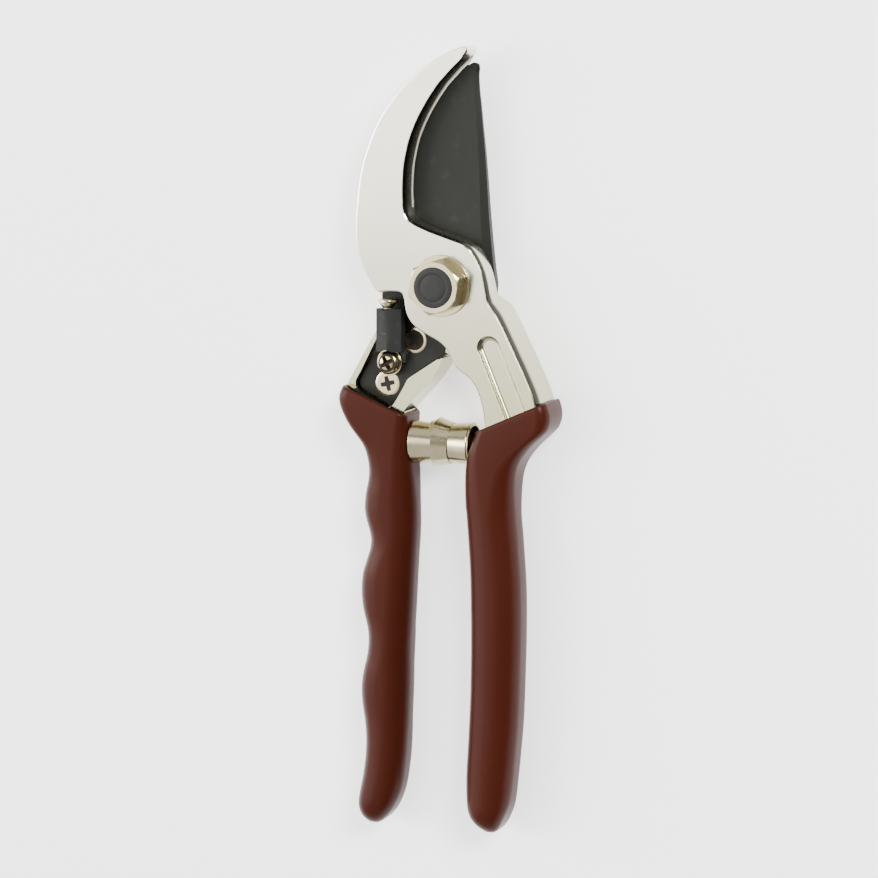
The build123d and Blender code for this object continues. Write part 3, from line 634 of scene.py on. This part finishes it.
for i in range(count):
    j = (i + 1) % count
    for k in range(steps - 1):
        faces.append((i * steps + k, j * steps + k, j * steps + k + 1, i * steps + k + 1))
faces.append(tuple(i * steps for i in reversed(range(count))))
faces.append(tuple(i * steps + steps - 1 for i in range(count)))
blade = plain_mesh("coated_cutting_blade", points, faces, 9.0)


def black_coating():
    grain = noise(2600.0, 3.0, 0.6)
    clouds = noise(70.0, 3.0)
    rubbed = wear(260.0).over(0.56, 0.74)
    tone = clouds.tint((0.0075, 0.0080, 0.0066), (0.0125, 0.0130, 0.0110))
    return {
        "Base Color": (rubbed * 0.2).tint(tone, (0.035, 0.036, 0.032)),
        "Roughness": 0.36 + grain * 0.10 + clouds * 0.06 - rubbed * 0.04,
        "Normal": bumped(grain, 0.00002, 0.5),
    }


coating = finish_of("black_blade_coating", {"Metallic": 0.0, "Specular IOR Level": 0.16}, black_coating)
mounted(blade, coating, "blade_half", "coated_blade", "cutting_blade")


# ---- dipped grips --------------------------------------------------------------------------------
# Each handle is dipped in hot vinyl three times. The dip hangs into a smooth rounded sleeve with a
# thick rolled lip at its slanted mouth, and shallow finger grooves on the blade's handle.
def side_at(side, y):
    """x of one side of a grip at a height, from its (y, x) list."""
    ys = [p[1] for p in side][::-1]
    xs = [p[0] for p in side][::-1]
    return float(np.interp(y, ys, xs))


def smooth_side(points):
    """A side's points from its mouth down, on a smooth curve."""
    return smooth_path(points, 0.8)


def sleeve(name, left, right, mouth, slant, foot, front, back, round_mouth, round_low):
    """A closed sleeve: sections between the two sides, slanted at the mouth, level lower down."""
    length = mouth[1] - foot
    stations = [0.0] + list(np.linspace(0.012, 1.0, 150))
    end_run, slant_run, corner_run, flattening = 7.5, 22.0, 26.0, 0.9
    points = []
    around = 56
    for share in stations:
        y0 = mouth[1] - share * length
        tilt = radians(slant) * max(0.0, 1.0 - (mouth[1] - y0) / slant_run) ** 1.3
        # where the tilted section meets each side
        xl, xr = side_at(left, y0), side_at(right, y0)
        for _ in range(6):
            middle = mouth[0]
            yl = y0 + (xl - middle) * np.tan(tilt)
            yr = y0 + (xr - middle) * np.tan(tilt)
            xl, xr = side_at(left, yl), side_at(right, yr)
        depth_from_end = y0 - foot
        close = min(1.0, depth_from_end / end_run)
        swell = (1 - (1 - close) ** 2) ** 0.5
        half = (xr - xl) / 2
        mid_x, mid_y = (xl + xr) / 2, (yl + yr) / 2
        span_y = (yr - yl) / 2
        low = back + (front - back) * 0.5 * (1 - swell) * flattening
        high = front - (front - back) * 0.5 * (1 - swell) * flattening
        corner = round_mouth + (round_low - round_mouth) * min(1.0, (mouth[1] - y0) / corner_run)
        corner = min(corner, half * 0.98, (high - low) * 0.49)
        wide, tall = half - corner, (high - low) / 2 - corner
        for k in range(around):
            quarter, step = divmod(k, around // 4)
            turn = (quarter + step / (around // 4 - 1)) * pi / 2
            u = corner * cos(turn) + wide * (1, -1, -1, 1)[quarter]
            w = corner * sin(turn) + tall * (1, 1, -1, -1)[quarter]
            share_u = u / half if half > 0.01 else 0.0
            points.append((mid_x + u, mid_y + share_u * span_y, (low + high) / 2 + w))
    rows = len(stations)
    faces = ring_faces(rows, around)
    # the lip: a bead round the mouth, then a short turn inwards
    first = np.array(points[:around])
    centre = first.mean(0)
    away = np.array([-np.sin(radians(slant)), np.cos(radians(slant)), 0.0])
    base = len(points)
    spokes = first - centre
    reach = np.linalg.norm(spokes, axis=1)[:, None]
    for inset, rise in ((0.10, 0.32), (0.40, 0.55), (0.85, 0.62), (1.25, 0.50), (1.55, 0.10), (1.7, -1.2)):
        points += [tuple(p) for p in centre + spokes * (1 - inset / reach) + away * rise]
    ring = [list(range(0, around))] + [list(range(base + n * around, base + (n + 1) * around)) for n in range(6)]
    for a, b in zip(ring, ring[1:]):
        for k in range(around):
            j = (k + 1) % around
            faces.append((a[k], b[k], b[j], a[j]))
    faces.append(tuple(ring[-1]))
    faces.append(tuple((rows - 1) * around + k for k in range(around)))
    return plain_mesh(name, points, faces, 60.0)


hook_grip_left = smooth_side([
    (12.2, -28.0), (11.4, -33.0), (10.6, -35.8), (9.5, -38.4), (8.2, -41.1), (7.0, -43.8), (6.3, -46.5), (5.8, -50.0),
    (5.55, -54.0), (5.5, -58.0), (5.8, -62.0), (6.2, -67.2), (6.7, -75.2), (6.9, -83.2), (7.0, -93.9), (6.9, -104.7),
    (6.65, -112.8), (6.25, -121.0), (5.85, -127.8), (5.7, -131.9), (5.8, -135.9), (6.2, -139.0), (7.2, -141.9),
    (9.3, -144.2), (12.2, -146.2)])
hook_grip_right = smooth_side([
    (26.4, -24.5), (27.9, -28.3), (29.1, -31.2), (29.6, -34.0), (28.9, -36.9), (27.2, -38.9), (25.0, -40.9),
    (22.6, -43.5), (20.7, -46.3), (19.7, -49.0), (19.3, -51.7), (19.15, -55.0), (19.2, -58.3), (19.4, -62.3),
    (19.8, -66.3), (20.3, -73.0), (20.7, -79.0), (20.85, -86.3), (20.8, -94.4), (20.6, -102.5), (20.35, -110.6),
    (20.0, -117.4), (19.4, -124.3), (18.85, -130.0), (18.2, -135.6), (17.4, -139.2), (16.0, -142.6),
    (14.4, -145.2), (12.4, -146.2)])
hook_sleeve = sleeve(
    "hook_grip_dipped", hook_grip_left, hook_grip_right, (20.0, -34.0), 24.0, -146.2, 15.85, 0.05, 2.8, 6.3)
blade_grip_left = smooth_side([
    (-26.8, -24.0), (-28.3, -27.1), (-29.4, -28.9), (-29.95, -30.6), (-29.95, -32.0), (-29.4, -34.0), (-28.2, -36.7),
    (-26.7, -39.1), (-24.9, -41.4), (-23.4, -43.7), (-22.6, -46.2), (-22.2, -48.8), (-22.2, -51.2), (-22.6, -53.5),
    (-23.3, -56.2), (-23.7, -59.0), (-23.7, -61.2), (-23.2, -63.8), (-22.4, -66.4), (-21.95, -68.9), (-22.2, -71.3),
    (-23.2, -74.5), (-24.25, -77.8), (-24.65, -81.2), (-24.65, -84.5), (-24.2, -87.9), (-23.4, -91.1),
    (-22.75, -94.1), (-22.65, -96.8), (-23.1, -100.2), (-24.0, -103.7), (-24.6, -107.0), (-24.8, -110.5),
    (-24.4, -114.6), (-23.8, -118.4), (-23.45, -121.6), (-23.4, -124.6), (-23.6, -128.2), (-24.3, -133.0),
    (-25.1, -137.0), (-25.5, -139.9), (-25.4, -142.0), (-24.6, -144.0), (-23.0, -145.6), (-21.0, -146.55)])
blade_grip_right = smooth_side([
    (-10.8, -29.5), (-10.6, -34.5), (-10.5, -38.5), (-10.1, -46.5), (-9.7, -50.2), (-9.3, -55.9), (-9.1, -61.3),
    (-9.15, -66.6), (-9.5, -72.1), (-9.9, -78.9), (-10.25, -85.7), (-10.65, -92.5), (-10.95, -99.3), (-11.1, -107.5),
    (-11.35, -114.3), (-11.65, -121.2), (-12.0, -126.7), (-12.45, -130.9), (-13.1, -135.1), (-14.1, -138.5),
    (-15.7, -141.9), (-17.6, -144.4), (-19.6, -146.0), (-20.9, -146.55)])
blade_sleeve = sleeve(
    "blade_grip_dipped", blade_grip_left, blade_grip_right, (-19.5, -31.9), -22.5, -146.55, 13.95, 0.05, 2.6, 6.1)


def dipped_vinyl():
    ripple = noise(60.0, 2.0, 0.5, (1, 0.35, 1))
    grain = noise(1400.0, 4.0, 0.6)
    dust = noise(5200.0, 2.0).over(0.66, 0.74)
    tone = ripple.tint((0.030, 0.0056, 0.0028), (0.040, 0.0078, 0.0038))
    return {
        "Base Color": (dust * 0.2).tint(tone, (0.10, 0.035, 0.022)),
        "Roughness": 0.24 + grain * 0.10 + ripple * 0.06,
        "Normal": bumped(ripple * 6.0 + grain * 0.35, 0.00005, 0.6),
    }


vinyl = finish_of("red_brown_vinyl", {"Specular IOR Level": 0.08}, dipped_vinyl)
mounted(hook_sleeve, vinyl, "hook_half", "dipped_grip", "hook_grip")
mounted(blade_sleeve, vinyl, "blade_half", "dipped_grip", "blade_grip")


# ---- volute spring -------------------------------------------------------------------------------
# A flat steel strip wound from both ends, with its widest turn over the middle. Its ends sit over
# the pegs. On the real shears it closes up like a telescope when the handles are squeezed; here it is one fixed mesh.
def plated():
    swirl = noise(380.0, 4.0)
    specks = noise(1800.0, 3.0).over(0.58, 0.72)
    tone = swirl.tint((0.43, 0.37, 0.22), (0.58, 0.52, 0.35))
    return {
        "Base Color": (specks * 0.3).tint(tone, (0.28, 0.22, 0.14)),
        "Roughness": 0.15 + swirl * 0.08 + specks * 0.10,
        "Normal": bumped(swirl, 0.000015, 0.3),
    }


nickel = finish_of("yellow_nickel", {"Metallic": 1.0}, plated)
spring_axis_y, spring_axis_z = -42.3, 7.3


def spring_tree():
    """Node tree of one cone of the spring: a strip that follows a spiral, along X."""
    tree = bpy.data.node_groups.new("wound_cone", "GeometryNodeTree")
    for label, kind, value in (
        ("Turns", "NodeSocketFloat", 3.5), ("Inner Radius", "NodeSocketFloat", 0.0049),
        ("Outer Radius", "NodeSocketFloat", 0.0057), ("Length", "NodeSocketFloat", 0.008),
        ("Strip Width", "NodeSocketFloat", 0.003), ("Strip Thickness", "NodeSocketFloat", 0.0005),
        ("Finish", "NodeSocketMaterial", None),
    ):
        socket = tree.interface.new_socket(label, in_out="INPUT", socket_type=kind)
        if value is not None:
            socket.default_value = value
    tree.interface.new_socket("Geometry", in_out="OUTPUT", socket_type="NodeSocketGeometry")
    add = lambda kind: tree.nodes.new(kind)
    source, end = add("NodeGroupInput"), add("NodeGroupOutput")
    spiral, strip = add("GeometryNodeCurveSpiral"), add("GeometryNodeCurvePrimitiveQuadrilateral")
    sweep, lay = add("GeometryNodeCurveToMesh"), add("GeometryNodeTransform")
    real, coat = add("GeometryNodeRealizeInstances"), add("GeometryNodeSetMaterial")
    spiral.inputs["Resolution"].default_value = 40
    link = tree.links.new
    link(source.outputs["Turns"], spiral.inputs["Rotations"])
    link(source.outputs["Inner Radius"], spiral.inputs["Start Radius"])
    link(source.outputs["Outer Radius"], spiral.inputs["End Radius"])
    link(source.outputs["Length"], spiral.inputs["Height"])
    link(source.outputs["Strip Width"], strip.inputs["Height"])
    link(source.outputs["Strip Thickness"], strip.inputs["Width"])
    link(spiral.outputs["Curve"], sweep.inputs["Curve"])
    link(strip.outputs["Curve"], sweep.inputs["Profile Curve"])
    sweep.inputs["Fill Caps"].default_value = True
    link(sweep.outputs["Mesh"], lay.inputs["Geometry"])
    lay.inputs["Rotation"].default_value = (0, pi / 2, 0)
    link(lay.outputs["Geometry"], real.inputs["Geometry"])
    link(real.outputs["Geometry"], coat.inputs["Geometry"])
    link(source.outputs["Finish"], coat.inputs["Material"])
    link(coat.outputs["Geometry"], end.inputs["Geometry"])
    return tree


def grown(name, tree, values):
    """The plain mesh that a node tree makes with the given inputs."""
    made = bpy.data.objects.new(name, bpy.data.meshes.new(name))
    scene.collection.objects.link(made)
    grow = made.modifiers.new("grow", "NODES")
    grow.node_group = tree
    sockets = {s.name: s.identifier for s in tree.interface.items_tree if s.in_out == "INPUT"}
    for label, value in values.items():
        grow[sockets[label]] = value
    bpy.context.view_layer.update()
    result = bpy.data.meshes.new_from_object(made.evaluated_get(bpy.context.evaluated_depsgraph_get()))
    made.modifiers.clear()
    made.data = result
    return made


cone = spring_tree()
cone_facts = {"Turns": 1.6, "Inner Radius": 0.0050, "Outer Radius": 0.0053, "Length": 0.0007, "Strip Width": 0.0064,
              "Strip Thickness": 0.00045, "Finish": nickel}
left_cone = grown("left_cone", cone, cone_facts)
left_cone.data.transform(Matrix.Translation(Vector((-7.2, spring_axis_y, spring_axis_z)) * MM))
right_cone = grown("right_cone", cone, cone_facts)
right_cone.data.transform(
    Matrix.Translation(Vector((3.6, spring_axis_y, spring_axis_z)) * MM) @ Matrix.Rotation(pi, 4, "Z"))
outer_turn = grown("outer_turn", cone, {
    "Turns": 1.25, "Inner Radius": 0.0056, "Outer Radius": 0.0059, "Length": 0.0020, "Strip Width": 0.0044,
    "Strip Thickness": 0.00045, "Finish": nickel})
outer_turn.data.transform(
    Matrix.Translation(Vector((-2.8, spring_axis_y, spring_axis_z)) * MM) @ Matrix.Rotation(2.2, 4, "X"))
spring = welded("wound_volute_spring", left_cone, right_cone, outer_turn)
with_finish(spring, nickel)
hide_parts("volute_spring")
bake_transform(spring)


# ---- pivot: bolt, washer, nut and cap ------------------------------------------------------------
# A plated steel bolt with a plain shoulder, a washer, and a hexagon nut turned round at its crown.
# A black plastic disc with a shallow ring is pressed into the nut's end.
for name, node, width in (
    ("pivot_nut_plated", "pivot_nut", 0.07), ("pivot_washer_plated", "pivot_washer", 0.15),
    ("pivot_bolt_plated", "pivot_bolt", 0.2)):
    mounted(eased(name, node, width), nickel, "hook_half", "plated_steel", node)

cap_radius = 5.28


def turned(name, profile, centre, around=72, creased=30.0):
    """A solid turned on +Z from (radius, level) points that start and end on the axis."""
    points = []
    inner = profile[1:-1]
    for radius, level in inner:
        for k in range(around):
            a = 2 * pi * k / around
            points.append((centre[0] + radius * cos(a), centre[1] + radius * sin(a), level))
    faces = ring_faces(len(inner), around)
    low, high = len(points), len(points) + 1
    points += [(*centre, profile[0][1]), (*centre, profile[-1][1])]
    last = (len(inner) - 1) * around
    for k in range(around):
        j = (k + 1) % around
        faces.append((low, j, k))
        faces.append((high, last + k, last + j))
    return plain_mesh(name, points, faces, creased)


cap = turned("nut_cap_moulded", [
    (0, 19.1), (5.2, 19.1), (cap_radius, 19.2), (cap_radius, 20.62), (5.12, 20.82), (4.9, 20.88), (4.3, 20.9),
    (3.72, 20.9), (3.62, 20.86), (3.55, 20.78), (3.48, 20.86), (3.38, 20.9), (1.5, 20.88), (0, 20.88)], (0, 0))


def moulded():
    grain = noise(2400.0, 3.0)
    turning = noise(160.0, 3.0)
    return {
        "Base Color": turning.tint((0.012, 0.012, 0.012), (0.026, 0.026, 0.025)),
        "Roughness": 0.42 + grain * 0.16,
        "Normal": bumped(grain, 0.00003, 0.5),
    }


plastic = finish_of("black_plastic", {"Specular IOR Level": 0.12}, moulded)
mounted(cap, plastic, "hook_half", "black_plastic", "nut_cap")


# ---- screws and pegs -----------------------------------------------------------------------------
# Plated machine screws hold the blade in its pocket and carry the latch. Each has a tapered cross
# stamped in its head. The spring's two pegs are turned stubs pressed into the handles.
def cross_punch(centre, top, turn, span, width, depth):
    """The punch that stamps a cross: two crossed tapered bars, as one closed outline."""
    points = []
    levels = [(top + 0.4, 1.12), (top, 1.0), (top - depth, 0.42)]
    for z, share in levels:
        a, w = span / 2 * share, width / 2 * (0.55 + 0.45 * share)
        arm = [(a, w), (w * 1.25, w * 1.25), (w, a)]
        for quarter in range(4):
            q = radians(90 * quarter + turn)
            for x, y in arm:
                points.append((centre[0] + x * cos(q) - y * sin(q), centre[1] + x * sin(q) + y * cos(q), z))
            x, y = -w, a
            points.append((centre[0] + x * cos(q) - y * sin(q), centre[1] + x * sin(q) + y * cos(q), z))
    ring = 16
    faces = ring_faces(len(levels), ring)
    faces.append(tuple(range(ring)))
    faces.append(tuple(reversed(range((len(levels) - 1) * ring, len(levels) * ring))))
    return plain_mesh("punch", points, faces)


def painted_shade_steel():
    """Painted shade: a dark rough finish for the inside of a cross recess, also used as a painted shadow on a screw
    head.
    """
    grain = noise(2600.0, 3.0)
    return {
        "Base Color": grain.tint((0.022, 0.016, 0.010), (0.055, 0.040, 0.026)),
        "Roughness": 0.5 + grain * 0.2,
        "Normal": bumped(grain, 0.00004, 0.5),
    }


# This near-black finish is painted shade inside the stamped crosses and a painted shadow on the upper screw's head.
stamped = finish_of("painted_shade_metal", {"Metallic": 0.6, "Specular IOR Level": 0.15}, painted_shade_steel)


def machine_screw(name, centre, profile, top, turn, span, width=1.05, depth=1.3, painted_shadow_reach=0.0):
    screw = turned(name, profile, centre, 64, 24.0)
    screw = weighted(cut_by(screw, cross_punch(centre, top, turn, span, width, depth)))
    screw.data.materials.clear()
    screw.data.materials.append(nickel)
    screw.data.materials.append(stamped)
    for face in screw.data.polygons:
        x, y, z = face.center / MM
        out = hypot(x - centre[0], y - centre[1])
        stamp = out < span / 2 + 0.3 and top - depth - 0.1 < z < top - 0.12
        # Faces on the head's top inside the given reach take the near-black finish: a painted shadow.
        if stamp and (abs(face.normal.z) < 0.98 or z < top - depth + 0.1) or z > top - 0.01 and out < painted_shadow_reach:
            face.material_index = 1
    return screw


def flat_head(level):
    return [(0, 2.2), (2.0, 2.2), (2.0, 6.2), (1.95, 6.4), (3.2, 7.75), (3.38, 7.92), (3.36, level - 0.03),
            (3.25, level), (2.7, level), (0, level)]


# The upper screw's head lies in the latch's shade, so its top is painted dark out to 2.6 mm: a painted shadow.
blade_screws = [
    machine_screw("lower_blade_screw_plated", (-17.5, -27.2), flat_head(8.06), 8.06, 14, 4.0),
    machine_screw("upper_blade_screw_plated", (-9.9, -15.4), flat_head(8.06), 8.06, 52, 4.0, painted_shadow_reach=2.6)]
mounted(blade_screws[0], None, "blade_half", "plated_steel", "lower_blade_screw")
mounted(blade_screws[1], None, "blade_half", "plated_steel", "upper_blade_screw")

pan_top = 12.98
pan_profile = [
    (0, 2.2), (1.66, 2.2), (1.66, 10.66), (2.85, 10.66), (3.05, 10.85), (3.16, 11.3), (3.1, 11.75), (2.85, 12.2),
    (2.4, 12.58), (1.8, 12.83), (1.0, 12.95), (0, pan_top)]
mounted(machine_screw("latch_screw_plated", (-16.0, -21.2), pan_profile, pan_top, 28, 3.9, depth=1.7),
        None, "blade_half", "plated_steel", "latch_screw")

for name, node, body, width in (
    ("latch_washer_plated", "latch_washer", "blade_half", 0.1),
    ("blade_spring_peg_turned", "blade_spring_peg", "blade_half", 0.2),
    ("hook_spring_peg_turned", "hook_spring_peg", "hook_half", 0.2),
    ("latch_tip_screw_plated", "latch_tip_screw", "latch", 0.12)):
    mounted(eased(name, node, width), nickel, body, "plated_steel", node)


# ---- latch lever ---------------------------------------------------------------------------------
# A black painted bar that turns under its own screw. Its two long facets meet near the middle, and
# its upper end is bevelled round the countersunk screw that bears on the hook's shoulder.
def painted():
    grain = noise(1900.0, 3.0)
    clouds = noise(120.0, 3.0)
    worn = wear(500.0).over(0.60, 0.72)
    tone = clouds.tint((0.010, 0.010, 0.010), (0.020, 0.020, 0.020))
    return {
        "Base Color": (worn * 0.25).tint(tone, (0.09, 0.09, 0.085)),
        "Roughness": 0.30 + grain * 0.12 + clouds * 0.10,
        "Normal": bumped(grain, 0.00003, 0.5),
    }


paint = finish_of("black_paint", {"Specular IOR Level": 0.11}, painted)


def roofed(shape):
    """Gives the bar's flat front two facets that meet on a ridge."""
    ridge, half, peak, fall = -15.3, 3.3, 14.3, 0.8
    middle, flat_share, slope_share, edge_fall = -14.9, 0.545, 0.455, 1.5
    front_above, eye_end, left_side, left_shift = 12.2, -18.4, -17.9, 0.35
    everything = shape.verts[:] + shape.edges[:] + shape.faces[:]
    bmesh.ops.bisect_plane(shape, geom=everything, plane_co=(ridge * MM, 0, 0), plane_no=(1, 0, 0))
    for vert in shape.verts:
        x, y, z = vert.co / MM
        if z > front_above and y > eye_end:
            out = abs(x - middle) / half
            flat = peak - edge_fall * max(0.0, out - flat_share) / slope_share
            slope = peak - fall * abs(x - ridge) / half
            vert.co.z = (z - flat + slope) * MM
            if x < left_side:
                vert.co.x = (x - left_shift) * MM


mounted(eased("latch_lever_painted", "latch_lever", 0.25, reshape=roofed), paint, "latch", "black_lever", "latch_lever")
